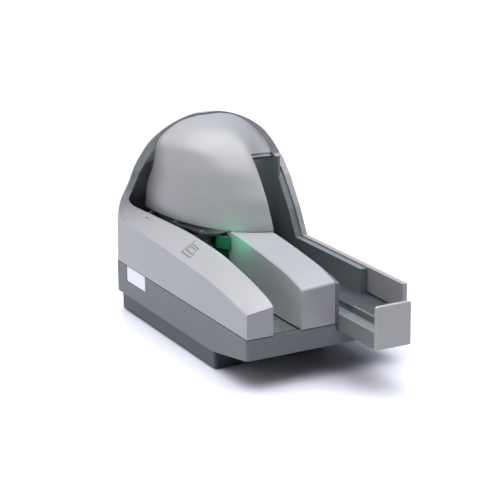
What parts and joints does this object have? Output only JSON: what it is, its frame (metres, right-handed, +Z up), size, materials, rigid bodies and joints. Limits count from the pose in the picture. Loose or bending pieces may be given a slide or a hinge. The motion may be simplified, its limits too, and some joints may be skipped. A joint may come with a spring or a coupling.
{
  "type": "cheque scanner",
  "caption": "Desktop cheque scanner: low wedge-sided body, entry and exit pockets at the front, domed hood with a lift-up cover at the rear, pull-out exit tray.",
  "frame": {"origin": "centre of the bounding box in X and Y, with the exit tray drawn out as in the picture, at the underside of the rubber feet", "axes": "+Z up; +Y from the pocket end towards the hood end; +X to the right seen from the pocket end"},
  "size_m": [0.16, 0.3234, 0.1902],
  "materials": {
    "casing_plastic": "fine matt light grey moulding",
    "block_plastic": "fine matt light grey moulding",
    "base_plastic": "matt dark grey moulding",
    "plinth_plastic": "matt dark grey moulding",
    "dark_plastic": "satin charcoal moulding",
    "tray_plastic": "satin dark grey moulding",
    "end_plate_plastic": "satin mid grey moulding",
    "deck_metal": "matt black painted sheet",
    "steel": "ground steel",
    "zinc_screw": "zinc plated",
    "foot_rubber": "matt black rubber",
    "roller_rubber": "matt dark grey rubber",
    "belt_rubber": "matt black rubber",
    "bush_bronze": "sintered bronze",
    "pulley_plastic": "natural acetal",
    "motor_steel": "drawn steel can",
    "sensor_plastic": "matt black moulding",
    "window_glass": "clear glass window",
    "cartridge_plastic": "matt black moulding",
    "light_green": "clear green light pipe",
    "board_green": "soldered circuit board",
    "part_black": "moulded component bodies",
    "label_white": "blank matt sticker",
    "spring_steel": "spring wire"
  },
  "bodies": {
    "casing": {"base_pan": "base_plastic", "plinth_cover": "plinth_plastic", "rubber_feet": "foot_rubber", "plinth_screws": "zinc_screw", "top_casing": "casing_plastic", "centre_block": "block_plastic", "exit_guide_wall": "dark_plastic", "track_deck": "deck_metal", "deck_screws": "zinc_screw", "entry_floor_strip": "steel", "outer_track_guide": "dark_plastic", "inner_track_guide": "dark_plastic", "feed_guide_wall": "dark_plastic", "island_plate": "dark_plastic", "shaft_bushes": "bush_bronze", "drive_belt": "belt_rubber", "motor_can": "motor_steel", "separator_pin": "steel", "pinch_pins": "steel", "magnetic_read_head": "sensor_plastic", "inner_image_sensor": "sensor_plastic", "inner_sensor_glass": "window_glass", "outer_image_sensor": "sensor_plastic", "outer_sensor_glass": "window_glass", "cartridge_holder": "dark_plastic", "print_cartridge": "cartridge_plastic", "entry_light_pipe": "light_green", "entry_lamp": "light_green", "pusher_pin": "steel", "pusher_spring": "spring_steel", "tray_runner": "dark_plastic", "hood_hinge_bracket": "casing_plastic", "main_board": "board_green", "board_components": "part_black", "power_socket": "part_black", "data_socket": "part_black", "rating_label": "label_white"},
    "hood": {"hood_cover": "casing_plastic", "hood_hinge_pin": "steel"},
    "tray": {"exit_tray": "tray_plastic", "tray_end_plate": "end_plate_plastic"},
    "feed_drive": {"feed_shaft": "steel", "feed_roller": "roller_rubber", "feed_pulley": "pulley_plastic"},
    "left_drive": {"left_drive_shaft": "steel", "left_drive_roller": "roller_rubber", "left_drive_pulley": "pulley_plastic"},
    "rear_drive": {"rear_drive_shaft": "steel", "rear_drive_roller": "roller_rubber", "rear_drive_pulley": "pulley_plastic"},
    "right_drive": {"right_drive_shaft": "steel", "right_drive_roller": "roller_rubber", "right_drive_pulley": "pulley_plastic"},
    "motor_rotor": {"motor_shaft": "steel", "motor_pulley": "pulley_plastic"},
    "separator": {"separator_roller": "roller_rubber"},
    "left_pinch": {"left_pinch_roller": "pulley_plastic"},
    "rear_pinch": {"rear_pinch_roller": "pulley_plastic"},
    "right_pinch": {"right_pinch_roller": "pulley_plastic"},
    "pusher": {"entry_pusher": "dark_plastic"}
  },
  "joints": [
    {"name": "hood_hinge", "type": "hinge", "parent": "casing", "child": "hood", "pos_m": [0, 0.11915, 0.1843], "axis": [-1, 0, 0], "range_deg": [0, 42]},
    {"name": "tray_slide", "type": "slide", "parent": "casing", "child": "tray", "axis": [0, 1, 0], "range_m": [0, 0.055]},
    {"name": "feed_spin", "type": "hinge", "parent": "casing", "child": "feed_drive", "pos_m": [-0.0448, 0.04865, 0.0684], "axis": [0, 0, 1], "continuous": true},
    {"name": "left_drive_spin", "type": "hinge", "parent": "casing", "child": "left_drive", "pos_m": [-0.0513, 0.08865, 0.0684], "axis": [0, 0, 1], "continuous": true},
    {"name": "rear_drive_spin", "type": "hinge", "parent": "casing", "child": "rear_drive", "pos_m": [0, 0.12945, 0.0684], "axis": [0, 0, 1], "continuous": true},
    {"name": "right_drive_spin", "type": "hinge", "parent": "casing", "child": "right_drive", "pos_m": [0.037, 0.12945, 0.0684], "axis": [0, 0, 1], "continuous": true},
    {"name": "motor_spin", "type": "hinge", "parent": "casing", "child": "motor_rotor", "pos_m": [0, 0.06365, 0.0384], "axis": [0, 0, 1], "continuous": true},
    {"name": "separator_spin", "type": "hinge", "parent": "casing", "child": "separator", "pos_m": [-0.0655, 0.04865, 0.0684], "axis": [0, 0, 1], "continuous": true},
    {"name": "left_pinch_spin", "type": "hinge", "parent": "casing", "child": "left_pinch", "pos_m": [-0.0657, 0.08865, 0.0684], "axis": [0, 0, 1], "continuous": true},
    {"name": "rear_pinch_spin", "type": "hinge", "parent": "casing", "child": "rear_pinch", "pos_m": [0, 0.14385, 0.0684], "axis": [0, 0, 1], "continuous": true},
    {"name": "right_pinch_spin", "type": "hinge", "parent": "casing", "child": "right_pinch", "pos_m": [0.037, 0.14265, 0.0684], "axis": [0, 0, 1], "continuous": true},
    {"name": "pusher_hinge", "type": "hinge", "parent": "casing", "child": "pusher", "pos_m": [-0.064, 0.00265, 0.0684], "axis": [0, 0, 1], "range_deg": [0, 18], "stiffness_Nm_per_rad": 0.03, "springref_deg": -20.05}
  ],
  "couplings": [
    {"joint": "left_drive_spin", "follows": "feed_spin", "ratio": 1},
    {"joint": "rear_drive_spin", "follows": "feed_spin", "ratio": 1},
    {"joint": "right_drive_spin", "follows": "feed_spin", "ratio": 1},
    {"joint": "motor_spin", "follows": "feed_spin", "ratio": 1},
    {"joint": "separator_spin", "follows": "feed_spin", "ratio": -1.4634},
    {"joint": "left_pinch_spin", "follows": "feed_spin", "ratio": -1.8},
    {"joint": "rear_pinch_spin", "follows": "feed_spin", "ratio": -1.8},
    {"joint": "right_pinch_spin", "follows": "feed_spin", "ratio": -2.3684}
  ]
}
